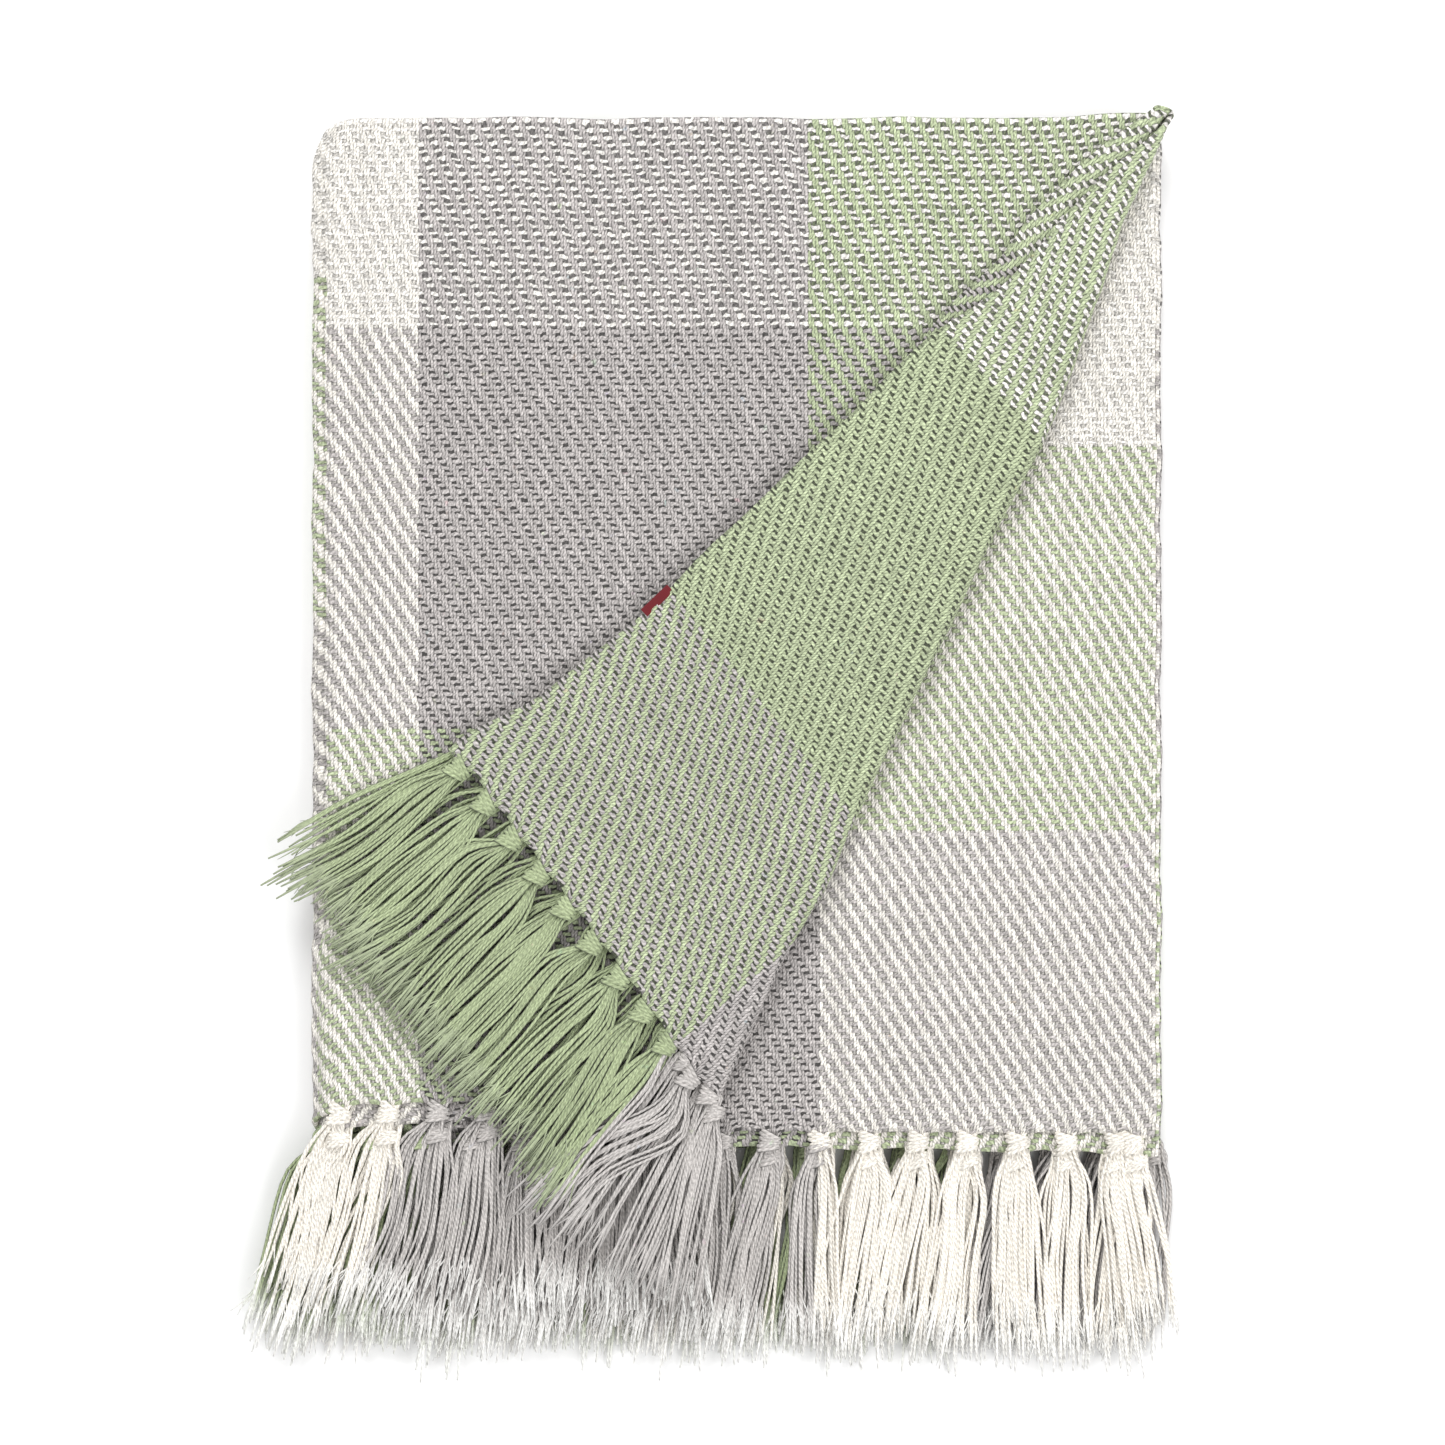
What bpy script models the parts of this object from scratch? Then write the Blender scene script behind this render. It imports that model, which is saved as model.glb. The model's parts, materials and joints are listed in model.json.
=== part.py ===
"""A folded throw blanket: eight plies of one woven cloth, a turned-back corner and a knotted fringe.

Units are metres, +Z is up.  The origin is on the underside, at the centre of the folded cloth.
The top fold lies towards +Y, the fringe towards -Y and the open selvages towards +X.
Ply 1 is the top ply and ply 8 lies on the table.
"""
import math

import bmesh
import bpy
from mathutils import Vector

# ---- Driving dimensions -----------------------------------------------------------------------
PLY = 0.0029                    # thickness of one ply of the loose cloth
GAP = 0.0003                    # clearance between touching pieces
PITCH = PLY + GAP               # height from one ply to the next
PLY_COUNT = 8

LEFT_EDGE = -0.1888             # outside of the left folds
RIGHT_FOLD = 0.1887             # outside of the centre fold, at the back of the stack
TOP_EDGE = 0.2239               # outside of the top folds
SELVAGE_UPPER = 0.1836          # free selvage of ply 3
SELVAGE_LOWER = 0.1857          # free selvage of ply 4

# Height of the hem of each ply, at its left and right ends
HEM = {1: (-0.2112, -0.2064), 2: (-0.2217, -0.2132), 3: (-0.2225, -0.2242), 4: (-0.2267, -0.2327),
       5: (-0.2284, -0.2301), 6: (-0.2233, -0.2250), 7: (-0.2259, -0.2276), 8: (-0.2301, -0.2318)}

# Turned-back corner
CREASE_LEAN = math.radians(24.75)   # the crease leans this far from +Y towards +X
CREASE_X = 0.0862                   # where the crease axis crosses Y = 0
CREASE_SETBACK = 0.0014             # plies stop this far short of the crease axis
CREASE_HEIGHT = 0.0009              # the crease axis lies this far above ply 1
FLAP_LIFT = 0.0013                  # air between ply 1 and the flap lying on it
FLAP_CORNER = (-0.1265, -0.0528)    # the cloth's corner, at rest
FLAP_TOP = (0.1819, 0.2200)         # where the flap's selvage meets the top fold
FLAP_HEM_END = -0.2047              # Y where the flap's hem meets the crease
LOWER_INSET = 0.0068                # the flap's lower ply is drawn in by this at its hem

# Fringe
TASSEL_PITCH = 0.0216
TASSEL_LENGTH = 0.0900
KNOT_WIDTH = 0.0102
KNOT_FROM_HEM = 0.0102
SKIRT_WIDTH = 0.0110
NECK_WIDTH = 0.0047
HEM_STRIP = 0.0017              # width of the strip that ties a hidden fringe row together
SEEN_FROM = 0.0271              # X from which the second panel's tassels lie in the open
CLEAR_OF_CREASE = 0.0040        # the last tassel of a row stays this far from the crease

# Woven label on the flap's selvage
LABEL = (0.0160, 0.0043, 0.0011)
LABEL_FROM_CORNER = 0.1012

ARC_STEPS = 8
RING_SIDES = 8

# Colours of the yarns: base colour and roughness
YARNS = {
    "cream_yarn": ((0.83, 0.78, 0.71), 0.90),
    "grey_yarn": ((0.37, 0.34, 0.33), 0.92),
    "green_yarn": ((0.36, 0.46, 0.23), 0.90),
    "red_label": ((0.32, 0.02, 0.02), 0.70),
}


# ---- Heights and edges ------------------------------------------------------------------------
def ply_bottom(ply):
    """Height of the underside of a ply, counted from the top of the stack."""
    return (PLY_COUNT - ply) * PITCH


STACK_TOP = ply_bottom(1) + PLY
FLAP_LOWER_BOTTOM = STACK_TOP + FLAP_LIFT
FLAP_UPPER_BOTTOM = FLAP_LOWER_BOTTOM + PITCH

LEFT_OUTER_RADIUS = STACK_TOP / 2
RIGHT_OUTER_RADIUS = (ply_bottom(5) + PLY) / 2
TOP_OUTER_RADIUS = (PITCH + PLY) / 2
LEFT_FLAT = LEFT_EDGE + LEFT_OUTER_RADIUS
RIGHT_FLAT = RIGHT_FOLD - RIGHT_OUTER_RADIUS
TOP_FLAT = TOP_EDGE - TOP_OUTER_RADIUS


def crease_x(y, setback=CREASE_SETBACK):
    """X of the crease axis at a given Y, moved towards -X by a setback square to the crease."""
    return CREASE_X + math.tan(CREASE_LEAN) * y - setback / math.cos(CREASE_LEAN)


def hem_y(ply, x):
    """Y of a ply's hem at a given X; the hems of plies 1 and 2 end at the crease."""
    left_y, right_y = HEM[ply]
    right_x = crease_x(right_y) if ply <= 2 else RIGHT_FLAT
    return left_y + (right_y - left_y) * (x - LEFT_FLAT) / (right_x - LEFT_FLAT)


# ---- Small tools ------------------------------------------------------------------------------
def clear_scene():
    """Remove every object that is already in the file."""
    for old in list(bpy.data.objects):
        bpy.data.objects.remove(old, do_unlink=True)


def make_materials():
    """One plain Principled material for each yarn colour."""
    made = {}
    for name, (colour, roughness) in YARNS.items():
        mat = bpy.data.materials.new(name)
        mat.use_nodes = True
        shader = mat.node_tree.nodes["Principled BSDF"]
        shader.inputs["Base Color"].default_value = (*colour, 1.0)
        shader.inputs["Roughness"].default_value = roughness
        shader.inputs["Metallic"].default_value = 0.0
        mat.diffuse_color = (*colour, 1.0)
        made[name] = mat
    return made


def place(mesh_builder, name, material, parent):
    """Turn a bmesh into a named object with one material, under a parent."""
    bmesh.ops.recalc_face_normals(mesh_builder, faces=mesh_builder.faces)
    mesh = bpy.data.meshes.new(name)
    mesh_builder.to_mesh(mesh)
    mesh_builder.free()
    mesh.materials.append(material)
    item = bpy.data.objects.new(name, mesh)
    bpy.context.scene.collection.objects.link(item)
    item.parent = parent
    item.matrix_parent_inverse = parent.matrix_world.inverted()
    return item


def extrude_outline(outline, sweep):
    """A closed prism from a flat outline of 3D points, swept along a vector."""
    builder = bmesh.new()
    face = builder.faces.new([builder.verts.new(point) for point in outline])
    swept = bmesh.ops.extrude_face_region(builder, geom=[face])
    moved = [item for item in swept["geom"] if isinstance(item, bmesh.types.BMVert)]
    bmesh.ops.translate(builder, verts=moved, vec=sweep)
    return builder


def plate(name, outline, bottom, material, parent):
    """A flat ply of cloth from a plan outline."""
    builder = extrude_outline([(x, y, bottom) for x, y in outline], Vector((0, 0, PLY)))
    return place(builder, name, material, parent)


def arc(radius, start, end):
    """Points of an arc, angles in degrees, measured from the first axis to the second."""
    angles = [math.radians(start + (end - start) * i / ARC_STEPS) for i in range(ARC_STEPS + 1)]
    return [(radius * math.cos(a), radius * math.sin(a)) for a in angles]


def fold_section(outer, start, end):
    """Half-ring section of a fold whose wall is one ply thick."""
    return arc(outer, start, end) + arc(outer - PLY, end, start)


# ---- Plies ------------------------------------------------------------------------------------
def straight_plies(materials, parent):
    """The plies that reach from the left folds to the right edge."""
    right = {3: SELVAGE_UPPER, 4: SELVAGE_LOWER, 5: RIGHT_FLAT - GAP,
             6: RIGHT_FLAT - GAP, 7: RIGHT_FLAT - GAP, 8: RIGHT_FLAT - GAP}
    names = {3: "second_panel_upper_ply", 4: "second_panel_lower_ply",
             5: "third_panel_upper_ply", 6: "third_panel_lower_ply",
             7: "back_panel_upper_ply", 8: "back_panel_lower_ply"}
    for ply, name in names.items():
        hem_left, hem_right = HEM[ply]
        outline = [(LEFT_FLAT + GAP, hem_left), (right[ply], hem_right),
                   (right[ply], TOP_FLAT - GAP), (LEFT_FLAT + GAP, TOP_FLAT - GAP)]
        plate(name, outline, ply_bottom(ply), materials["cream_yarn"], parent)


def front_plies(materials, parent):
    """Plies 1 and 2, cut back along the crease."""
    for ply, name in ((1, "front_panel_upper_ply"), (2, "front_panel_lower_ply")):
        hem_left, hem_right = HEM[ply]
        outline = [(LEFT_FLAT + GAP, hem_left), (crease_x(hem_right), hem_right),
                   (crease_x(TOP_FLAT - GAP), TOP_FLAT - GAP), (LEFT_FLAT + GAP, TOP_FLAT - GAP)]
        plate(name, outline, ply_bottom(ply), materials["grey_yarn"], parent)


def flap_hem(inset):
    """The two ends of a flap ply's hem: the cloth's corner, then the crease end."""
    along_hem = (Vector((crease_x(FLAP_HEM_END), FLAP_HEM_END)) - Vector(FLAP_CORNER)).normalized()
    inward = Vector((-along_hem.y, along_hem.x)) * inset
    corner = Vector(FLAP_CORNER) + inward
    crease_end_y = FLAP_HEM_END + inward.y
    return corner, Vector((crease_x(crease_end_y), crease_end_y))


def flap_plies(materials, parent):
    """The two plies of the turned-back corner, lying on ply 1."""
    top = Vector(FLAP_TOP)
    for name, bottom, inset in (("flap_upper_ply", FLAP_UPPER_BOTTOM, 0.0),
                                ("flap_lower_ply", FLAP_LOWER_BOTTOM, LOWER_INSET)):
        corner, crease_end = flap_hem(inset)
        outline = [corner, crease_end, Vector((crease_x(top.y), top.y)), top]
        plate(name, outline, bottom, materials["green_yarn"], parent)


# ---- Folds ------------------------------------------------------------------------------------
def side_fold(name, ply, edge, side, material, parent):
    """A fold along one side that joins a ply to the ply it turns back into."""
    partner = PLY_COUNT + 1 - ply if side < 0 else 13 - ply
    partner_bottom = ply_bottom(partner)
    top = ply_bottom(ply) + PLY
    centre = (top + partner_bottom) / 2
    outer = (top - partner_bottom) / 2
    section = fold_section(outer, 90, 270 if side < 0 else -90)
    end = 0 if side < 0 else 1
    hem = max(HEM[ply][end], HEM[partner][end])
    outline = [(edge + x, hem, centre + z) for x, z in section]
    place(extrude_outline(outline, Vector((0, TOP_FLAT - GAP - hem, 0))), name, material, parent)


def top_fold(name, ply, right, material, parent):
    """The fold along the top that joins a ply to the one below it."""
    centre = ply_bottom(ply) + PLY - TOP_OUTER_RADIUS
    section = fold_section(TOP_OUTER_RADIUS, -90, 90)
    outline = [(LEFT_FLAT + GAP, TOP_FLAT + y, centre + z) for y, z in section]
    sweep = Vector((right - LEFT_FLAT - GAP, 0, 0))
    place(extrude_outline(outline, sweep), name, material, parent)


def folds(materials, parent):
    """Four nested folds on the left, two on the right and four along the top."""
    cream = materials["cream_yarn"]
    for ply in (1, 2, 3, 4):
        side_fold(f"left_fold_ply{ply}_to_ply{PLY_COUNT + 1 - ply}", ply, LEFT_FLAT, -1, cream, parent)
    for ply, partner in ((5, 8), (6, 7)):
        side_fold(f"centre_fold_ply{ply}_to_ply{partner}", ply, RIGHT_FLAT, 1,
                  materials["grey_yarn"], parent)
    crease_end = crease_x(TOP_FLAT)
    for ply, panel, right in ((1, "front", crease_end), (3, "second", SELVAGE_UPPER),
                              (5, "third", RIGHT_FLAT), (7, "back", RIGHT_FLAT)):
        top_fold(f"top_fold_{panel}_panel", ply, right, cream, parent)


# ---- Fringe -----------------------------------------------------------------------------------
def tassel_profile(length):
    """Stations along a tassel: distance from the hem and half width."""
    knot = KNOT_FROM_HEM
    return [(0.0, NECK_WIDTH / 2), (knot - KNOT_WIDTH / 2, NECK_WIDTH / 2),
            (knot - KNOT_WIDTH / 5, KNOT_WIDTH / 2), (knot + KNOT_WIDTH / 5, KNOT_WIDTH / 2),
            (knot + KNOT_WIDTH / 2, NECK_WIDTH * 0.6), (length * 0.45, SKIRT_WIDTH * 0.38),
            (length * 0.93, SKIRT_WIDTH / 2), (length, SKIRT_WIDTH * 0.42)]


def tassel(name, root, heading, length, bottom, material, parent):
    """One knotted tassel: flattened rings lofted from the hem to the tip, one ply high."""
    ahead = Vector((math.sin(heading), -math.cos(heading), 0))
    across = Vector((math.cos(heading), math.sin(heading), 0))
    builder = bmesh.new()
    rings = []
    for distance, half_width in tassel_profile(length):
        half_height = PLY / 2 * min(1.0, 0.35 + half_width / KNOT_WIDTH * 1.3)
        middle = Vector((root.x, root.y, bottom + half_height)) + ahead * distance
        ring = []
        for side in range(RING_SIDES):
            turn = 2 * math.pi * (side + 0.5) / RING_SIDES
            offset = across * (half_width * math.cos(turn)) + Vector((0, 0, half_height * math.sin(turn)))
            ring.append(builder.verts.new(middle + offset))
        rings.append(ring)
    edges = [[builder.edges.new((ring[i - 1], ring[i])) for i in range(RING_SIDES)] for ring in rings]
    for first, second in zip(edges, edges[1:]):
        bmesh.ops.bridge_loops(builder, edges=first + second)
    builder.faces.new(rings[0])
    builder.faces.new(rings[-1])
    place(builder, name, material, parent)


def comb_profile(length):
    """Fewer stations, for the tassels of a hidden row."""
    knot = KNOT_FROM_HEM
    return [(0.0, NECK_WIDTH / 2), (knot, KNOT_WIDTH / 2), (knot + KNOT_WIDTH, NECK_WIDTH / 2),
            (length, SKIRT_WIDTH / 2)]


def fan(headings, share, ease):
    """Heading of a tassel in a row; ease bends the change towards one end of the row."""
    return headings[0] + (headings[1] - headings[0]) * share ** ease


def tassel_roots(start, end):
    """Evenly spaced root points along a hem, about one tassel pitch apart."""
    start, end = Vector(start), Vector(end)
    count = max(2, round((end - start).length / TASSEL_PITCH))
    return [start.lerp(end, (i + 0.5) / count) for i in range(count)]


def tassel_row(prefix, start, end, headings, lengths, bottom, colours, parent, ease=1.0):
    """A row of separate tassels.  Heading, and length as a share of TASSEL_LENGTH, change along it."""
    start, end = Vector(start), Vector(end)
    along = (end - start).normalized()
    outward = Vector((along.y, -along.x))
    square = math.atan2(outward.x, -outward.y)
    roots = tassel_roots(start, end)
    for i, root in enumerate(roots):
        share = i / (len(roots) - 1)
        heading = fan(headings, share, ease)
        length = TASSEL_LENGTH * (lengths[0] + (lengths[1] - lengths[0]) * share)
        clear = GAP + NECK_WIDTH / 2 * abs(math.sin(heading - square))
        tassel(f"{prefix}_{i + 1:02d}", root + outward * clear, heading, length, bottom, colours(i), parent)


def fringe_comb(name, start, end, headings, lengths, bottom, material, parent, ease=1.0):
    """A whole hidden row as one flat solid: a narrow strip at the hem with its tassels."""
    start, end = Vector(start), Vector(end)
    along = (end - start).normalized()
    outward = Vector((along.y, -along.x))
    first, last = start + outward * GAP, end + outward * GAP
    lower = []
    roots = tassel_roots(first + outward * HEM_STRIP, last + outward * HEM_STRIP)
    for i, root in enumerate(roots):
        share = i / (len(roots) - 1)
        heading = fan(headings, share, ease)
        length = TASSEL_LENGTH * (lengths[0] + (lengths[1] - lengths[0]) * share)
        ahead = Vector((math.sin(heading), -math.cos(heading)))
        across = Vector((math.cos(heading), math.sin(heading)))
        stations = comb_profile(length)
        lower += [root + along * -stations[0][1]]
        lower += [root + ahead * d - across * w for d, w in stations[1:]]
        lower += [root + ahead * d + across * w for d, w in reversed(stations[1:])]
        lower += [root + along * stations[0][1]]
    outline = [last, first, first + outward * HEM_STRIP] + lower + [last + outward * HEM_STRIP]
    plate(name, outline, bottom, material, parent)


def flat_fringe(materials, parent):
    """Fringe rows of the plies that stay on the stack."""
    cream, grey, green = (materials[f"{tint}_yarn"] for tint in ("cream", "grey", "green"))
    lean = math.radians
    hem_end = Vector((crease_x(HEM[1][1]), HEM[1][1]))
    tassel_row("front_upper_tassel", (LEFT_FLAT, HEM[1][0]), hem_end - Vector((CLEAR_OF_CREASE, 0)),
               (lean(-31), lean(-5)), (0.96, 0.98), ply_bottom(1),
               lambda i: cream if i < 2 else grey, parent, ease=0.4)
    tassel_row("second_upper_tassel", (SEEN_FROM, HEM[3][1]), (SELVAGE_UPPER, HEM[3][1]),
               (lean(-8), lean(12)), (1.0, 0.94), ply_bottom(3), lambda i: cream, parent, ease=3.0)
    hidden = {
        "front_lower_fringe": (2, crease_x(HEM[2][1]) - CLEAR_OF_CREASE, -12, -6, grey),
        "second_upper_fringe": (3, SEEN_FROM - TASSEL_PITCH * 0.2, -10, -8, grey),
        "second_lower_fringe": (4, SELVAGE_LOWER, -9, 1, cream),
        "third_upper_fringe": (5, RIGHT_FLAT, -8, 3, green),
        "third_lower_fringe": (6, RIGHT_FLAT, -10, 2, grey),
        "back_upper_fringe": (7, RIGHT_FLAT, -7, 4, cream),
        "back_lower_fringe": (8, RIGHT_FLAT, -9, 0, grey),
    }
    for name, (ply, right, first_lean, last_lean, material) in hidden.items():
        fringe_comb(name, (LEFT_FLAT, HEM[ply][0]), (right, hem_y(ply, right)),
                    (lean(first_lean), lean(last_lean)), (0.98, 0.96), ply_bottom(ply), material, parent)


def flap_fringe(materials, parent):
    """The two fringe rows of the turned-back corner."""
    headings = (math.radians(-50), math.radians(-44))
    corner, crease_end = flap_hem(0.0)
    short_of_crease = (corner - crease_end).normalized() * (CLEAR_OF_CREASE * 1.3)
    tassel_row("flap_tassel", corner, crease_end + short_of_crease, headings,
               (1.0, 1.06), FLAP_UPPER_BOTTOM, lambda i: materials["green_yarn"], parent)
    corner, crease_end = flap_hem(LOWER_INSET)
    fringe_comb("flap_lower_fringe", corner, crease_end + short_of_crease, headings,
                (1.02, 1.04), FLAP_LOWER_BOTTOM, materials["green_yarn"], parent)


# ---- Label ------------------------------------------------------------------------------------
def label(materials, parent):
    """A small blank woven label, sewn to the flap's selvage."""
    corner, top = Vector(FLAP_CORNER), Vector(FLAP_TOP)
    along = (top - corner).normalized()
    outward = Vector((-along.y, along.x))
    length, depth, thickness = LABEL
    near = corner + along * LABEL_FROM_CORNER + outward * GAP
    outline = [near, near + along * length, near + along * length + outward * depth,
               near + outward * depth]
    bottom = FLAP_UPPER_BOTTOM + (PLY - thickness) / 2
    builder = extrude_outline([(x, y, bottom) for x, y in outline], Vector((0, 0, thickness)))
    place(builder, "woven_label", materials["red_label"], parent)


# ---- Assembly ---------------------------------------------------------------------------------
def main():
    """Build the stack on one empty and the turned-back corner on another, at its crease."""
    clear_scene()
    materials = make_materials()
    stack = bpy.data.objects.new("stack", None)
    flap = bpy.data.objects.new("corner_flap", None)
    flap.location = (CREASE_X, 0, STACK_TOP + CREASE_HEIGHT)
    flap.rotation_euler = (0, 0, -CREASE_LEAN)
    for empty in (stack, flap):
        bpy.context.scene.collection.objects.link(empty)
    bpy.context.view_layer.update()
    straight_plies(materials, stack)
    front_plies(materials, stack)
    folds(materials, stack)
    flat_fringe(materials, stack)
    flap_plies(materials, flap)
    flap_fringe(materials, flap)
    label(materials, flap)


main()
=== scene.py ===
"""Looks of the folded plaid throw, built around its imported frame.

The cloth is made as two woven sheets that lie on each other and meet at the top fold, each folded
through the whole stack and over at the turned-back corner.  The fringe hangs from their hems.
A place on a sheet is given by m, the distance along the folded path from the front panel's free
selvage, and v, the distance down from the top fold.  Lengths are metres, +Z is up.
"""
import json
import math

import bmesh
import bpy
import numpy as np
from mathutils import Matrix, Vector


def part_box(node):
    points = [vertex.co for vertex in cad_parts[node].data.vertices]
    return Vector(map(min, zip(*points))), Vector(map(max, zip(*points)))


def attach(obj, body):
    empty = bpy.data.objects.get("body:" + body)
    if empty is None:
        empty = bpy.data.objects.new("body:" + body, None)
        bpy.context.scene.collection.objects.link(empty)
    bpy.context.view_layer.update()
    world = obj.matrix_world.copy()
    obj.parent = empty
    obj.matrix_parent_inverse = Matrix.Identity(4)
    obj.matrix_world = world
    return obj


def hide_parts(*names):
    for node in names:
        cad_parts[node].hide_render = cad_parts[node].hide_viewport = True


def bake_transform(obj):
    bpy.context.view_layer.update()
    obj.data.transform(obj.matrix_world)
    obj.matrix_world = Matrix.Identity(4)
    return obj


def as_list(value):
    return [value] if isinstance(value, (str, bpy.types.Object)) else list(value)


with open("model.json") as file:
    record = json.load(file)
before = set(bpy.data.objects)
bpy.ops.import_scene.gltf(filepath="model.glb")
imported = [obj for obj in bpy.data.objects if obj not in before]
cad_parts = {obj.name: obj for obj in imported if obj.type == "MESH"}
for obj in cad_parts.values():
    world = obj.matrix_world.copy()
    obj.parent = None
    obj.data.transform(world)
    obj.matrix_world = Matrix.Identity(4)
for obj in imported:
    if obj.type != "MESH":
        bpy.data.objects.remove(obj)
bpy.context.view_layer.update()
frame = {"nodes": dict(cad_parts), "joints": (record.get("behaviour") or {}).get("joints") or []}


# ---- Places read from the frame ----
def middle(node):
    """Height of the middle of a flat node."""
    lowest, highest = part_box(node)
    return (lowest.z + highest.z) / 2


def hem_ends(node):
    """(x, y) of a ply's hem at its left and right ends."""
    corners = {(round(v.co.x, 6), round(v.co.y, 6)) for v in frame["nodes"][node].data.vertices}
    return sorted(sorted(corners, key=lambda corner: corner[1])[:2])


FRONT, REVERSE = 1, -1      # the sheet that shows on the front panel, and the one behind it
PLY_NODES = {1: "front_panel_upper_ply", 2: "front_panel_lower_ply", 3: "second_panel_upper_ply",
             4: "second_panel_lower_ply", 5: "third_panel_upper_ply", 6: "third_panel_lower_ply",
             7: "back_panel_upper_ply", 8: "back_panel_lower_ply"}
LEVEL = {ply: middle(node) for ply, node in PLY_NODES.items()}
STACK_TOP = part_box(PLY_NODES[1])[1].z
HALF_PITCH = (LEVEL[1] - LEVEL[2]) / 2
TURN_HEIGHT = (LEVEL[1] + middle("flap_lower_ply")) / 2
LEFT_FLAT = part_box("left_fold_ply1_to_ply8")[1].x
RIGHT_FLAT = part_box("centre_fold_ply5_to_ply8")[0].x
TOP_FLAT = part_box("top_fold_front_panel")[0].y
SELVAGE_END = {FRONT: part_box(PLY_NODES[4])[1].x, REVERSE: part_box(PLY_NODES[3])[1].x}
CREASE = frame["joints"][0]
LEAN = math.atan2(CREASE["axis"][0], CREASE["axis"][1])
CREASE_X, CREASE_Y = CREASE["pos_m"][0], CREASE["pos_m"][1]

# ---- Cloth ----
CLOTH_WIDTH = 1.510
SHEET_DEPTH = {FRONT: 0.435, REVERSE: 0.446}
FREE_SELVAGE = 0.1972           # X of the front panel's selvage before its corner is turned back
HALF_CLOTH = 0.00125
RIB_HEIGHT = 0.00022
HIDDEN_STEP = 0.008             # distance of the grid columns where a panel is hidden
SHOWN_WIDTH = 0.205             # how much of the second panel lies in the open
WARP_PITCH = 0.00163
CREAM_PICK = 0.00330            # the cream weft is thicker than the other two
COLOUR_PICK = 0.00270
FIRST_PICK = 200                # pick number at the top fold
PICK_SPAN = 400                 # pick numbers on both sides of the top fold
DEEP_ENDS = (0.078, 0.228)      # block ends of the deeper cloth that shows at the left folds
DEEP_OFFSET = 0.037             # how much lower the deeper cloth's blocks end at the centre fold
GROOVE = 0.0066                 # depth of the groove in the left folds, at this angle round them
GROOVE_ANGLE = 0.98
DIP = 0.0009                    # how far the top of the stack sinks in soft hollows
EDGE_WAVES = ((0.0006, 0.07, 0.9), (0.0003, 0.019, 2.2))     # height, length and phase along the sides
CORNER_IN, CORNER_DOWN = 0.0050, 0.0045                      # how the top left corner is rounded

# Distance from the top fold to the end of the cream block, then of the next one
BLOCK_ENDS = {FRONT: (0.0963, 0.2723), REVERSE: (0.1381, 0.3053)}
# Ends of the warp stripes, from the front panel's selvage
STRIPE_ENDS = (0.1615, 0.3326, 0.5042, 0.6758, 0.8474, 1.0190, 1.1906, 1.3622)
STRIPE_YARNS = ("green", "grey", "cream", "green", "grey", "cream", "green", "grey", "cream")

# Turned-back corner
LOOSE_TURN = math.pi * 2 * HALF_PITCH   # the outer ply needs this much more cloth at the crease
PEEK = 0.0030                           # the lower ply's selvage shows this far near the top fold
PEEK_START, PEEK_END = (0.120, 0.150), (0.195, 0.215)
LIFT = 0.0011                           # height of the soft waves on the turned-back corner
SAG = ((-0.201, 0.0), (-0.154, 0.0088), (-0.101, 0.0106), (-0.051, 0.0068), (0.010, 0.0038),
       (0.072, -0.0008), (0.112, 0.0032), (0.180, 0.0))
BOW = ((-0.211, -0.0046), (-0.162, -0.0048), (-0.125, -0.0012), (-0.089, -0.0018), (0.041, 0.0010),
       (0.094, 0.0037), (0.210, -0.0045))

# ---- Fringe ----
TASSEL_PITCH = 0.0218
FLAP_TASSEL_PITCH = 0.0192
TASSEL_LENGTH = 0.0900
STRAND_RADIUS = 0.00074
KNOT_HEIGHT = 0.0036            # lowest place of a knot's middle
GATHER_REACH = 0.0050           # how far into the cloth the knots draw it together
GATHER_SIDEWAYS = 0.0016
GATHER_DOWN = 0.0013
HEM_SPREAD = 0.0070             # half the width of hem that one tassel gathers
HEM_INSET = 0.0012              # how far inside the cloth's edges the strands begin
NECK_LENGTH = 0.009             # from the hem to below the knot
NECK_STATIONS = ((-0.0020, 1.0, 0.0013), (0.0040, 1.2, 0.0016))     # past the knot, width, thickness
STRAND_STATIONS = ((0.18, 0.88, 0.45), (0.58, 1.02, 0.85), (1.0, 1.12, 1.0))    # far, width, drop
BUSHY = 18                      # a tassel with more strands than this is tied tighter
TIGHT, LOOSE = (0.0094, 0.0028), (0.0104, 0.0056)       # half widths of a tassel and of its neck
CORNER_PALEST = 0.0780          # the corner's strands grow no paler than at this distance from the hem
KNOT_COIL = 0.00100             # radius of the strands wound round the knot
KNOT_HALF_WIDTH, KNOT_HALF_HEIGHT = 0.0040, 0.0025
COIL_PITCH = 0.0015
FRAY_RADII = (0.00040, 0.00036, 0.00031, 0.00024, 0.00010)
LAST_GAP = 0.016                # a hem's end with more room than this gets one more tassel
LAST_TASSEL = 0.009             # which sits this far from the selvage

# ---- Yarns ----
WARP_COLOUR = {"cream": (0.830, 0.795, 0.735), "grey": (0.490, 0.459, 0.447),
               "green": (0.470, 0.538, 0.342)}
WEFT_COLOUR = {"cream": (0.770, 0.745, 0.705), "grey": (0.460, 0.432, 0.421),
               "green": (0.445, 0.507, 0.325)}
FRINGE_COLOUR = {"cream": (0.915, 0.870, 0.795), "grey": (0.570, 0.540, 0.520),
                 "green": (0.410, 0.480, 0.285)}
FRAYED_COLOUR = (0.97, 0.965, 0.94, 1.0)
LABEL_COLOURS = (0.105, 0.004, 0.008, 1.0), (0.200, 0.008, 0.014, 1.0)
YARN_DRIFT = ((45.0, 0.40), (330.0, 0.85))      # noise scale and how many yarn widths it moves them
FLOAT_LEAN = 0.14               # how far a warp float leans over, in yarn widths
YARN_RELIEF = 0.0007
STRAND_TWIST = 0.0028           # length of one turn of a fringe strand's plies
STRAND_RELIEF = 0.00012


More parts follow.
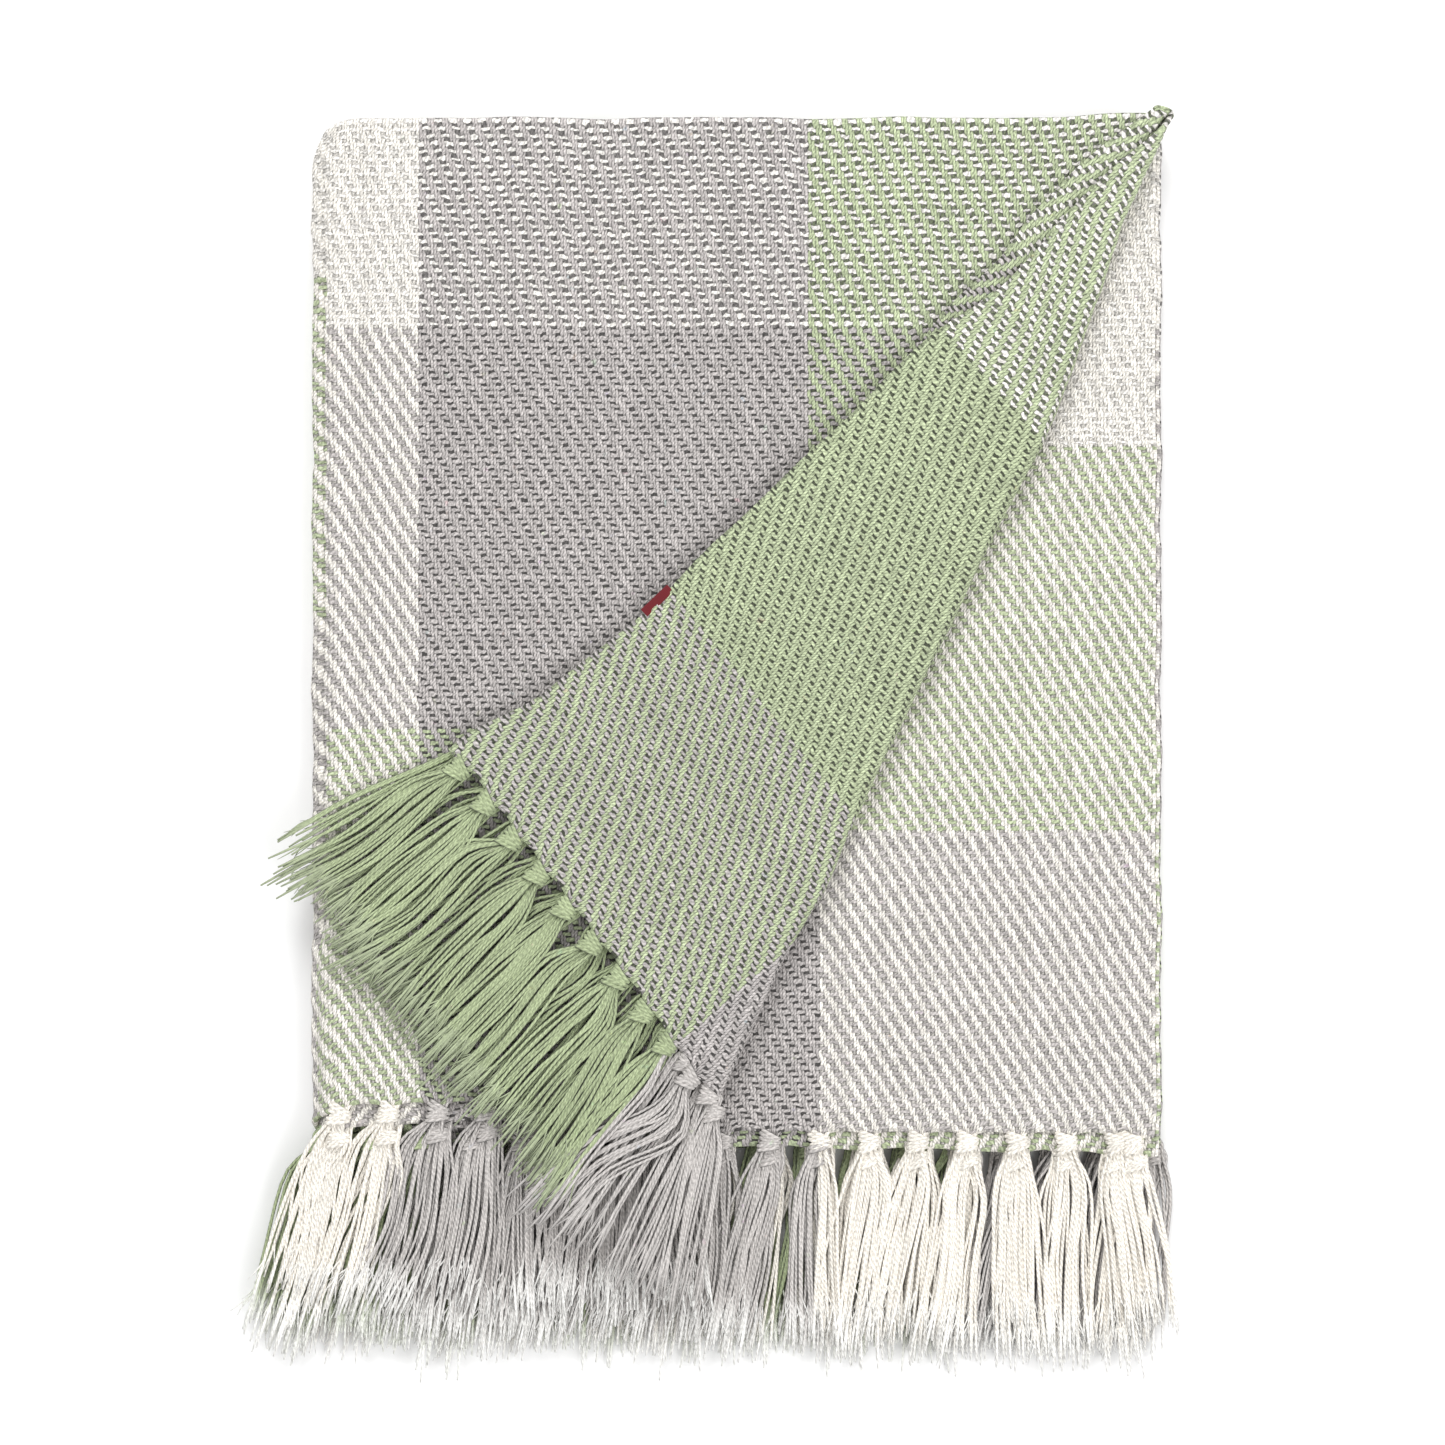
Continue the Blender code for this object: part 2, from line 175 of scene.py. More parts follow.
# ---- Small tools ----
def ease(low, high, x):
    """0 below low, 1 above high, smooth between."""
    share = np.clip((x - low) / (high - low), 0.0, 1.0)
    return share * share * (3 - 2 * share)


def through(points, x):
    """A smooth curve through a few (x, y) points, level beyond the ends."""
    y = np.full_like(x, points[0][1])
    for (x0, y0), (x1, y1) in zip(points, points[1:]):
        y = y + (y1 - y0) * ease(x0, x1, x)
    return y


def ripple(x, wavelength, phase):
    """A gentle irregular wave between -1 and 1."""
    turn = 2 * math.pi / wavelength
    return (0.55 * np.sin(turn * x + phase) + 0.30 * np.sin(turn * 1.73 * x + 2.1 * phase + 1.0)
            + 0.15 * np.sin(turn * 3.11 * x + 3.7 * phase + 2.0))


def new_object(name, data):
    """An object of the scene that shows a mesh, lamp or camera."""
    item = bpy.data.objects.new(name, data)
    bpy.context.scene.collection.objects.link(item)
    return item


# ---- Folding ----
PANEL_LEVELS = [(LEVEL[a] + LEVEL[a + 1]) / 2 for a in (1, 7, 5, 3)]
PANEL_ENDS = ((FREE_SELVAGE, LEFT_FLAT), (LEFT_FLAT, RIGHT_FLAT), (RIGHT_FLAT, LEFT_FLAT))
FRONT_PANEL = FREE_SELVAGE - LEFT_FLAT


def path_stretches(face):
    """The stretches of the folded path: start, length, kind, and what places it."""
    ends = PANEL_ENDS + ((LEFT_FLAT, SELVAGE_END[face]),)
    stretches = []
    start = 0.0
    for panel, ((x_from, x_to), level) in enumerate(zip(ends, PANEL_LEVELS)):
        heading = math.copysign(1, x_to - x_from)
        stretches.append(("run", start, abs(x_to - x_from), x_from, level, heading))
        start += abs(x_to - x_from)
        if panel < 3:
            drop = (level - PANEL_LEVELS[panel + 1]) / 2
            stretches.append(("turn", start, math.pi * abs(drop), x_to, level - drop, (heading, drop)))
            start += math.pi * abs(drop)
    return stretches, start


def fold_path(face, m):
    """x, z and normal of the path midway between the sheets, and the angle through the left fold."""
    x, z, nx, nz, left_turn = (np.zeros_like(m) for _ in range(5))
    stretches, _ = path_stretches(face)
    for kind, start, length, x0, z0, way in stretches:
        here = (m >= start) & (m <= start + length + 1e-9)
        along = m[here] - start
        if kind == "run":
            x[here], z[here] = x0 + way * along, z0
            nx[here], nz[here] = 0.0, -way
            continue
        heading, drop = way
        angle = along / abs(drop)
        sense = math.copysign(1, drop)
        x[here] = x0 + heading * abs(drop) * np.sin(angle)
        z[here] = z0 + drop * np.cos(angle)
        nx[here], nz[here] = -sense * np.sin(angle), -heading * np.cos(angle)
        if drop > 0:
            left_turn[here] = angle
    return x, z, nx, nz, left_turn


def turn_back(face, x, y, z):
    """Fold the front panel over at the crease; returns the new x, y, z."""
    cos, sin = math.cos(LEAN), math.sin(LEAN)
    across = (x - CREASE_X) * cos - (y - CREASE_Y) * sin
    along = (x - CREASE_X) * sin + (y - CREASE_Y) * cos
    radius = TURN_HEIGHT - z
    turned = across > 0
    angle = np.clip(across / radius, 0, math.pi)
    beyond = np.maximum(across - math.pi * radius, 0)
    z_new = np.where(turned, TURN_HEIGHT - radius * np.cos(angle), z)
    over = np.where(turned, radius * np.sin(angle) - beyond, across)
    if face == FRONT:
        over = over + LOOSE_TURN * ease(0, 0.05, beyond) * (1 - ease(0.06, 0.11, y))
        near_selvage = ease(0.050, 0.0, FREE_SELVAGE - x) * ease(0, 0.020, beyond)
        over = over - PEEK * near_selvage * ease(*PEEK_START, y) * (1 - ease(*PEEK_END, y))
    sag = through(SAG, y) * ease(0.115, 0.0, FREE_SELVAGE - x) * ease(0, 0.03, beyond)
    over = over + sag * cos
    along = along - sag * sin
    over = over + through(BOW, along) * np.exp(-(over / 0.040) ** 2)
    lift = LIFT * (0.5 + 0.5 * ripple(over + 0.6 * along, 0.11, 0.4)) * ease(0.004, 0.03, beyond)
    z_new = z_new + lift * (z_new - TURN_HEIGHT) / (TURN_HEIGHT - LEVEL[2])
    return (CREASE_X + over * cos + along * sin, CREASE_Y - over * sin + along * cos, z_new)


def draw_in(face, m, v):
    """Pull the cloth near a hem towards the knots that gather it."""
    places = TASSELS[face]
    phase = 2 * math.pi * np.interp(m, places, np.arange(len(places)))
    near = np.exp(-np.maximum(hem_depth(face, m) - v, 0) / GATHER_REACH)
    pulled = m - GATHER_SIDEWAYS * np.sin(phase) * near
    return np.clip(pulled, 0, path_stretches(face)[1]), v + GATHER_DOWN * np.cos(phase) * near


def round_corner(x, y):
    """Soften the corner between the left folds and the top fold."""
    left = ease(LEFT_FLAT + 0.010, LEFT_FLAT - 0.014, x)
    top = ease(TOP_FLAT - 0.016, TOP_FLAT + 0.003, y)
    return x + CORNER_IN * left * top, y - CORNER_DOWN * left * top


def cloth_points(face, m, v):
    """Points of a sheet's middle surface."""
    m, v = np.broadcast_arrays(np.asarray(m, float), np.asarray(v, float))
    m, v = draw_in(face, m, v)
    x, z, nx, nz, left_turn = fold_path(face, m.ravel())
    x, z, nx, nz, left_turn = (a.reshape(m.shape) for a in (x, z, nx, nz, left_turn))
    quarter = math.pi / 2 * HALF_PITCH
    rise = np.clip(1 - v / quarter, 0, 1) * math.pi / 2
    offset = face * HALF_PITCH * np.cos(rise)
    y = TOP_FLAT + HALF_PITCH * np.sin(rise) - np.maximum(v - quarter, 0)
    x, z = x + nx * offset, z + nz * offset
    groove = GROOVE * np.exp(-((left_turn - GROOVE_ANGLE) / 0.33) ** 2) * (left_turn > 0)
    x = x + groove * (0.25 + 0.75 * ease(-0.150, -0.125, y))
    x, y, z = (np.where(m <= FRONT_PANEL, new, old)
               for new, old in zip(turn_back(face, x, y, z), (x, y, z)))
    dip = DIP * (0.5 + 0.25 * ripple(x + 0.4 * y, 0.15, 1.3) + 0.25 * ripple(y - 0.3 * x, 0.12, 4.0))
    z = z - np.where(z <= STACK_TOP, dip * z / STACK_TOP, 0)
    edge = sum(height * ripple(y, length, phase) for height, length, phase in EDGE_WAVES)
    x_new = x + edge * ease(0.10, 0.16, np.abs(x))
    y_new = y + 0.0007 * ripple(x, 0.09, 2.4) * ease(0.12, 0.2, y)
    x_new, y_new = round_corner(x_new, y_new)
    return np.stack((x_new, y_new, z), axis=-1)


# ---- Hems ----
def hem_table():
    """Three (x, y) points along the hem of each ply: its ends, and the line carried on to FREE_SELVAGE."""
    table = {}
    crease = hem_ends(PLY_NODES[2])
    slope = (crease[1][1] - crease[0][1]) / (crease[1][0] - crease[0][0])
    for ply, node in PLY_NODES.items():
        (x0, y0), (x1, y1) = hem_ends(node)
        rise = slope * (FREE_SELVAGE - x1) if ply <= 2 else 0
        table[ply] = ((x0, y0), (x1, y1), (FREE_SELVAGE, y1 + rise))
    return table


HEM = hem_table()


def hem_depth(face, m):
    """v of the hem at each m."""
    plies = (1, 8, 5, 4) if face == FRONT else (2, 7, 6, 3)
    known_m, known_y = [], []
    runs = [stretch for stretch in path_stretches(face)[0] if stretch[0] == "run"]
    for ply, (_, start, length, x0, _, way) in zip(plies, runs):
        stations = [(start + way * (x - x0), y) for x, y in HEM[ply]]
        stations = sorted((min(max(s, start), start + length), y) for s, y in stations)
        known_m += [s for s, _ in stations]
        known_y += [y for _, y in stations]
    return math.pi / 2 * HALF_PITCH + TOP_FLAT - np.interp(m, known_m, known_y)


def tassel_places(face):
    """m of every tassel along a sheet's hem; they sit closer on the turned-back corner."""
    total = path_stretches(face)[1]
    places, m = [], FLAP_TASSEL_PITCH * 0.45
    while m < total - 0.006:
        places.append(m)
        m += FLAP_TASSEL_PITCH if m < CREASE_HEM[face] else TASSEL_PITCH
    if total - places[-1] > LAST_GAP:
        places.append(total - LAST_TASSEL)
    return places


def crease_hem(face):
    """m where the crease crosses a sheet's hem."""
    ply = 1 if face == FRONT else 2
    return FREE_SELVAGE - HEM[ply][1][0]


CREASE_HEM = {face: crease_hem(face) for face in (FRONT, REVERSE)}
TASSELS = {face: tassel_places(face) for face in (FRONT, REVERSE)}


def warp_count(face, m):
    """Number of the warp end at m; the small difference to the cloth's width lies in the hidden panels."""
    total = path_stretches(face)[1]
    ends = (0, 0.4, total - 0.4, total)
    return np.interp(m, ends, (0, 0.4, CLOTH_WIDTH - 0.4, CLOTH_WIDTH)) / WARP_PITCH


def pick_count(face, v):
    """Picks passed from the top fold down to v."""
    cream_end = BLOCK_ENDS[face][0]
    return np.minimum(v, cream_end) / CREAM_PICK + np.maximum(v - cream_end, 0) / COLOUR_PICK


# ---- Sheets ----
def columns(face):
    """m of the grid columns: one for each warp end where a panel shows, wider apart where it is hidden."""
    stretches, total = path_stretches(face)
    stations = []
    for number, (kind, start, length, *_) in enumerate(stretches):
        if kind == "turn":
            count = 14 if number == 1 else 8
            stations += list(np.linspace(start, start + length, count, endpoint=False))
        elif number == 0:
            stations += list(np.arange(start, start + length - WARP_PITCH / 2, WARP_PITCH))
        elif number == 6 and face == REVERSE:
            shown = total - SHOWN_WIDTH
            stations += list(np.arange(start, shown, HIDDEN_STEP))
            stations += list(np.arange(shown, total - WARP_PITCH / 2, WARP_PITCH))
        else:
            stations += list(np.arange(start, start + length - HIDDEN_STEP / 2, HIDDEN_STEP))
    return np.array(stations + [total - 0.0008, total])


def rows(face):
    """v of the grid rows: one for each pick, and a few more around the top fold."""
    depth = SHEET_DEPTH[face]
    quarter = math.pi / 2 * HALF_PITCH
    known = np.array((0.0, BLOCK_ENDS[face][0], depth))
    picks = pick_count(face, known)
    stations = np.interp(np.arange(1.0, picks[-1]), picks, known)
    return np.concatenate((np.linspace(0, quarter, 4), stations[stations > quarter * 1.2], [depth]))


def row_places(face, m, v):
    """v at every grid point: the rows near the hem spread so that the last one lies on it."""
    depth = SHEET_DEPTH[face]
    stretch = (hem_depth(face, m) - depth)[:, None]
    return v[None, :] + stretch * ease(depth - 0.20, depth, v)[None, :]


def surface_normals(points, face):
    """Unit normals of a grid of points, on the woven face's side."""
    along_m = np.gradient(points, axis=0)
    along_v = np.gradient(points, axis=1)
    normal = np.cross(along_m, along_v) * face
    return normal / np.linalg.norm(normal, axis=-1, keepdims=True)


def rim_direction(points, i, j, last_i, last_j):
    """Direction in the cloth that points out of its edge at a boundary point."""
    out = np.zeros(3)
    if i in (0, last_i):
        inner = points[1 if i == 0 else last_i - 1, j]
        step = points[i, j] - inner
        out += step / np.linalg.norm(step)
    if j == last_j:
        step = points[i, j] - points[i, last_j - 1]
        out += step / np.linalg.norm(step)
    size = np.linalg.norm(out)
    return out / size if size > 0 else out


def boundary_loop(last_i, last_j):
    """Grid indices once around the edge of a grid."""
    loop = [(i, 0) for i in range(last_i)]
    loop += [(last_i, j) for j in range(last_j)]
    loop += [(i, last_j) for i in range(last_i, 0, -1)]
    loop += [(0, j) for j in range(last_j, 0, -1)]
    return loop


def every(count, step):
    """Each step-th index of a range, with the last one always in."""
    picked = list(range(0, count - 1, step))
    return picked + [count - 1]


def sheet_mesh(name, face):
    """One woven sheet as a closed mesh: ribbed face, rounded edges and a plain reverse."""
    m, v = columns(face), rows(face)
    places = row_places(face, m, v)
    points = cloth_points(face, m[:, None], places)
    normals = surface_normals(points, face)
    warp = warp_count(face, m)[:, None] + 0 * places
    picks = pick_count(face, v)[None, :] + 0 * places
    weft = FIRST_PICK - face * picks
    ribs = RIB_HEIGHT * np.cos(2 * math.pi * (warp - weft - 1.0) / 4) * ease(0, 0.006, places)
    front = points + normals * (HALF_CLOTH + ribs)[..., None]
    back = points - normals * HALF_CLOTH

    last_i, last_j = len(m) - 1, len(v) - 1
    loop = boundary_loop(last_i, last_j)
    rim = np.array([points[i, j] + rim_direction(points, i, j, last_i, last_j) * HALF_CLOTH
                    for i, j in loop])
    back_i, back_j = every(len(m), 2), every(len(v), 3)
    grid = np.arange(len(m) * len(v)).reshape(len(m), len(v))
    rim_start = grid.size
    back_start = rim_start + len(loop)
    back_grid = back_start + np.arange(len(back_i) * len(back_j)).reshape(len(back_i), len(back_j))
    back_place = {(i, j): back_grid[a, b] for a, i in enumerate(back_i) for b, j in enumerate(back_j)}

    quads = np.stack((grid[:-1, :-1], grid[1:, :-1], grid[1:, 1:], grid[:-1, 1:]), -1).reshape(-1, 4)
    faces = quads.tolist()
    for n in range(len(loop)):
        i, j = loop[n]
        i2, j2 = loop[(n + 1) % len(loop)]
        faces.append([grid[i2, j2], grid[i, j], rim_start + n, rim_start + (n + 1) % len(loop)])
    corners = [n for n, place in enumerate(loop) if place in back_place]
    for first, second in zip(corners, corners[1:] + [corners[0] + len(loop)]):
        ring = [rim_start + n % len(loop) for n in range(first, second + 1)]
        faces.append([back_place[loop[first]], back_place[loop[second % len(loop)]]] + ring[::-1])
    faces += np.stack((back_grid[:-1, :-1], back_grid[:-1, 1:], back_grid[1:, 1:], back_grid[1:, :-1]),
                      -1).reshape(-1, 4).tolist()

    loop_i, loop_j = np.array(loop).T
    pick_grid = np.ix_(back_i, back_j)
    places_3d = np.concatenate((front.reshape(-1, 3), rim, back[pick_grid].reshape(-1, 3)))
    counts = [np.concatenate((a.ravel(), a[loop_i, loop_j], a[pick_grid].ravel()))
              for a in (warp, weft, deeper_picks(face, m, v))]

    mesh = bpy.data.meshes.new(name)
    mesh.from_pydata(places_3d.tolist(), [], faces)
    write_weave(mesh, counts, deep_fold_faces(face, m, len(v), len(faces)))
    mesh.shade_smooth()
    item = new_object(name, mesh)
    close_outwards(mesh)
    mesh.set_sharp_from_angle(angle=math.radians(65))
    return item


def close_outwards(mesh):
    """Turn every face of a closed mesh outwards."""
    builder = bmesh.new()
    builder.from_mesh(mesh)
    bmesh.ops.recalc_face_normals(builder, faces=builder.faces)
    builder.to_mesh(mesh)
    builder.free()


def deeper_picks(face, m, v):
    """Pick numbers for the parts of the side folds that show the colours of deeper cloth."""
    left = PICK_SPAN + 2 * FIRST_PICK - pick_count(FRONT, v)
    right = FIRST_PICK - pick_count(FRONT, v - DEEP_OFFSET)
    between_folds = path_stretches(face)[1] * 0.36
    return np.where(m[:, None] < between_folds, left[None, :], right[None, :])


def deep_fold_faces(face, m, row_count, face_count):
    """True for the faces of the front sheet's side folds that take the deeper colours."""
    chosen = np.zeros(face_count, bool)
    if face == REVERSE:
        return chosen
    stretches, _ = path_stretches(face)
    _, left_start, left_length, *_ = stretches[1]
    _, right_start, right_length, *_ = stretches[3]
    centre = (m[:-1] + m[1:]) / 2
    deep = (centre > left_start + 0.33 * left_length) & (centre < left_start + left_length + 0.05)
    deep |= (centre > right_start - 0.02) & (centre < right_start + right_length + 0.02)
    chosen[:(len(m) - 1) * (row_count - 1)] = np.repeat(deep, row_count - 1)
    return chosen


def write_weave(mesh, counts, deep_faces):
    """Store warp and pick numbers on the face corners, where the yarn shader reads them."""
    vertex = np.zeros(len(mesh.loops), np.int32)
    mesh.loops.foreach_get("vertex_index", vertex)
    sizes = np.zeros(len(mesh.polygons), np.int32)
    mesh.polygons.foreach_get("loop_total", sizes)
    deep = np.repeat(deep_faces, sizes)
    warp, weft, deeper_weft = counts
    values = np.zeros((len(vertex), 3), np.float32)
    values[:, 0] = warp[vertex]
    values[:, 1] = np.where(deep, deeper_weft[vertex], weft[vertex])
    attribute = mesh.attributes.new("weave", "FLOAT_VECTOR", "CORNER")
    attribute.data.foreach_set("vector", values.ravel())


# ---- Shader tools ----
class Shader:
    """A node material with short calls for the nodes that it uses."""

    def __init__(self, name, roughness, sheen):
        self.material = bpy.data.materials.new(name)
        self.material.use_nodes = True
        self.tree = self.material.node_tree
        self.surface = self.tree.nodes["Principled BSDF"]
        for socket, value in (("Roughness", roughness), ("Specular IOR Level", 0.15),
                              ("Sheen Weight", sheen), ("Sheen Roughness", 0.6)):
            self.surface.inputs[socket].default_value = value

    def node(self, kind, inputs, **settings):
        made = self.tree.nodes.new(kind)
        for key, value in settings.items():
            setattr(made, key, value)
        for key, value in inputs.items():
            if isinstance(value, bpy.types.NodeSocket):
                self.tree.links.new(value, made.inputs[key])
            else:
                made.inputs[key].default_value = value
        return made

    def weave(self):
        """The three numbers that the mesh holds as its weave attribute."""
        numbers = self.node("ShaderNodeAttribute", {}, attribute_name="weave").outputs["Vector"]
        return self.node("ShaderNodeSeparateXYZ", {0: numbers}).outputs

    def place(self):
        """The place on the mesh, for noise."""
        return self.node("ShaderNodeTexCoord", {}).outputs["Object"]

    def math(self, operation, *values):
        return self.node("ShaderNodeMath", dict(enumerate(values)), operation=operation).outputs[0]

    def add(self, first, second):
        return self.math("ADD", first, second)

    def minus(self, first, second):
        return self.math("SUBTRACT", first, second)

    def times(self, first, second):
        return self.math("MULTIPLY", first, second)

    def choose(self, factor, first, second):
        """A number between two numbers."""
        return self.node("ShaderNodeMix", {0: factor, 2: first, 3: second}).outputs[0]

    def mix(self, factor, first, second, blend="MIX"):
        """A colour between two colours."""
        made = self.node("ShaderNodeMix", {0: factor, 6: first, 7: second},
                         data_type="RGBA", blend_type=blend)
        return made.outputs[2]

    def shaded(self, colour, shade):
        """A colour times a number."""
        grey = self.node("ShaderNodeCombineColor", {0: shade, 1: shade, 2: shade}).outputs[0]
        return self.mix(1.0, colour, grey, "MULTIPLY")

    def red(self, colour):
        """The red part of a colour, which tells the pale yarns from the others."""
        return self.node("ShaderNodeSeparateColor", {0: colour}).outputs[0]

    def between(self, value, low, high, to_low=0.0, to_high=1.0):
        made = self.node("ShaderNodeMapRange", {0: value, 1: low, 2: high, 3: to_low, 4: to_high},
                         interpolation_type="SMOOTHSTEP")
        return made.outputs[0]

    def random(self, value):
        return self.node("ShaderNodeTexWhiteNoise", {"W": value}, noise_dimensions="1D").outputs[0]

    def noise(self, place, scale, detail, output="Fac"):
        made = self.node("ShaderNodeTexNoise", {"Vector": place, "Scale": scale, "Detail": detail})
        return made.outputs[output]

    def bands(self, value, stops):
        """Constant bands of colour: stops are (position, colour)."""
        ramp = self.node("ShaderNodeValToRGB", {0: value})
        ramp.color_ramp.interpolation = "CONSTANT"
        elements = ramp.color_ramp.elements
        elements.remove(elements[1])
        for number, (position, colour) in enumerate(stops):
            element = elements[0] if number == 0 else elements.new(position)
            element.position = position
            element.color = (*colour, 1.0)
        return ramp.outputs[0]

    def finish(self, colour, height, depth):
        self.tree.links.new(colour, self.surface.inputs["Base Color"])
        bump = self.node("ShaderNodeBump", {"Height": height, "Distance": depth, "Strength": 1.0})
        self.tree.links.new(bump.outputs[0], self.surface.inputs["Normal"])
        return self.material


def warp_bands(shader, warp, colours):
    """Colour of a warp end from its number."""
    span = CLOTH_WIDTH / WARP_PITCH
    starts = (0.0,) + STRIPE_ENDS
    stops = [(start / CLOTH_WIDTH, colours[yarn]) for start, yarn in zip(starts, STRIPE_YARNS)]
    return shader.bands(shader.math("DIVIDE", warp, span), stops)


def weft_bands(shader, pick):
    """Colour of a pick from its number."""
    front = [FIRST_PICK - pick_count(FRONT, v) for v in BLOCK_ENDS[FRONT]]
    back = [FIRST_PICK + pick_count(REVERSE, v) for v in BLOCK_ENDS[REVERSE]]
    deep = [PICK_SPAN + 2 * FIRST_PICK - pick_count(FRONT, v) for v in DEEP_ENDS]
    starts = (0.0, front[1], front[0], back[0], back[1], deep[1], deep[0])
    yarns = ("green", "grey", "cream", "green", "grey", "green", "cream")
    stops = [(start / PICK_SPAN / 2, WEFT_COLOUR[yarn]) for start, yarn in zip(starts, yarns)]
    return shader.bands(shader.math("DIVIDE", pick, PICK_SPAN * 2), stops)


def heather(shader, colour, place, lively):
    """Light and dark fibres and a few odd-coloured flecks in a yarn."""
    fibres = shader.between(shader.noise(place, 900.0, 3.0), 0.25, 0.75, 1.0 - lively, 1.0 + lively)
    fleck = shader.between(shader.noise(place, 260.0, 1.0), 0.70, 0.78)
    tint = shader.noise(place, 60.0, 2.0, "Color")
    return shader.mix(shader.times(fleck, 0.35), shader.shaded(colour, fibres), tint, "OVERLAY")


def cloth_material():
    """Two-by-two twill of thick plied yarns, coloured by stripe and block.

    The weave attribute holds warp end and pick numbers, so whole numbers are the yarns' edges.
    Warp and weft each get a height, the higher one shows, and painted shade darkens the low places.
    """
    shader = Shader("woven_plaid", 0.92, 0.12)
    add, minus, times, between = shader.add, shader.minus, shader.times, shader.between
    s, t, _ = shader.weave()
    place = shader.place()
    for scale, amount in YARN_DRIFT:
        drift = shader.node("ShaderNodeSeparateColor", {0: shader.noise(place, scale, 1.0, "Color")})
        s, t = (add(value, times(minus(part, 0.5), amount))
                for value, part in zip((s, t), drift.outputs))
    turn = times(minus(t, shader.math("FLOOR", s)), math.pi / 2)
    s = minus(s, times(shader.math("SINE", turn), FLOAT_LEAN))
    end, pick = shader.math("FLOOR", s), shader.math("FLOOR", t)
    across_end, across_pick = minus(minus(s, end), 0.5), minus(minus(t, pick), 0.5)
    off_end, off_pick = shader.math("ABSOLUTE", across_end), shader.math("ABSOLUTE", across_pick)

    def float_wave(distance):
        """Highest in the middle of a float, lowest where the yarn is under the others."""
        return shader.math("COSINE", times(distance, math.pi / 2))

    def roundness(across, width):
        """Height across a round yarn of this width."""
        doubled = times(across, 2.0 / width)
        return shader.math("SQRT", shader.math("MAXIMUM", minus(1.0, times(doubled, doubled)), 0.0))

    warp_yarn, weft_yarn = warp_bands(shader, end, WARP_COLOUR), weft_bands(shader, pick)
    warp_pale, weft_pale = shader.red(warp_yarn), shader.red(weft_yarn)
    cream_pick = between(weft_pale, 0.50, 0.70)

    furrow = between(off_end, 0.34, 0.50, 0.0, 0.40)
    warp_height = add(times(roundness(across_end, 1.04), 0.50), times(float_wave(minus(t, end)), 0.52))
    warp_height = minus(warp_height, furrow)
    weft_wave = float_wave(minus(minus(s, pick), 3.0))
    beside = between(add(off_pick, times(cream_pick, 0.07)), 0.26, 0.38, 0.0, 0.9)
    weft_height = add(times(roundness(across_pick, 0.84), 0.45), times(weft_wave, 0.55))
    weft_height = minus(minus(weft_height, beside), between(cream_pick, 0.0, 1.0, 0.05, 0.02))
    warp_on_top = between(minus(warp_height, weft_height), -0.04, 0.04)
    height = shader.math("MAXIMUM", warp_height, weft_height)

    twist_warp = shader.math("SINE", add(times(t, 2 * math.pi * 1.5), times(across_end, 7.0)))
    twist_weft = shader.math("SINE", add(times(s, 2 * math.pi * 0.9), times(across_pick, 7.0)))
    twist = shader.choose(warp_on_top, twist_weft, twist_warp)

    warp_tone = between(shader.random(end), 0.0, 1.0, 0.90, 1.08)
    weft_tone = between(shader.random(add(pick, 0.37)), 0.0, 1.0, 0.90, 1.08)
    tone = shader.choose(warp_on_top, weft_tone, warp_tone)
    colour = heather(shader, shader.mix(warp_on_top, weft_yarn, warp_yarn), place, 0.30)
    # Painted shade: the lines between neighbouring warp floats and the low places between yarns are
    # darkened, less on pale yarn
    seam_shade = times(between(off_end, 0.24, 0.48, 0.0, 0.75), warp_on_top)
    gap_shade = shader.math("MAXIMUM", between(height, 0.04, 0.66, 1.0, 0.0), seam_shade)
    paleness = add(times(warp_pale, 0.6), times(weft_pale, 0.4))
    depth = between(paleness, 0.50, 0.80, 0.84, 0.28)
    shade = times(minus(1.0, times(gap_shade, depth)), tone)
    # Painted shade and light: each yarn's twist grooves are darkened and its ridges lightened
    shade = times(shade, between(twist, -1.0, 1.0, 0.75, 1.10))
    return shader.finish(shader.shaded(colour, shade), add(height, times(twist, 0.10)), YARN_RELIEF)


def fringe_material():
    """Plied cotton strands, coloured by the stripe that they come from.

    The weave attribute holds the warp end, the distance from the hem and the side of the strand.
    """
    shader = Shader("fringe_yarn", 0.90, 0.15)
    minus, times, between = shader.minus, shader.times, shader.between
    s, along, side = shader.weave()
    turn = shader.add(times(along, 2 * math.pi / STRAND_TWIST), times(side, 2.6))
    twist = shader.math("SINE", turn)
    tone = between(shader.random(s), 0.0, 1.0, 0.88, 1.08)
    yarn = warp_bands(shader, shader.math("FLOOR", s), FRINGE_COLOUR)
    # Painted shade: each strand is darkened along its sides, most on dark yarn and fading out near the
    # frayed tips
    depth = between(shader.red(yarn), 0.56, 0.86, 0.90, 0.09)
    edge = times(between(shader.math("ABSOLUTE", side), 0.60, 1.0), depth)
    edge = times(edge, between(along, 0.096, 0.072))
    # Painted shade and light: the grooves of each strand's twist are darkened and its ridges lightened
    shade = times(times(between(twist, -1.0, 1.0, 0.78, 1.06), tone), minus(1.0, edge))
    colour = shader.shaded(heather(shader, yarn, shader.place(), 0.16), shade)
    frayed = times(between(along, 0.074, 0.098), 0.90)
    return shader.finish(shader.mix(frayed, colour, FRAYED_COLOUR), twist, STRAND_RELIEF)


def label_material():
    """Fine dark red ribbon."""
    shader = Shader("woven_label_red", 0.65, 0.2)
    ribs = shader.node("ShaderNodeTexWave", {"Vector": shader.place(), "Scale": 900.0, "Distortion": 0.4},
                       wave_type="BANDS", bands_direction="DIAGONAL").outputs[1]
    return shader.finish(shader.mix(shader.times(ribs, 0.6), *LABEL_COLOURS), ribs, 0.0001)


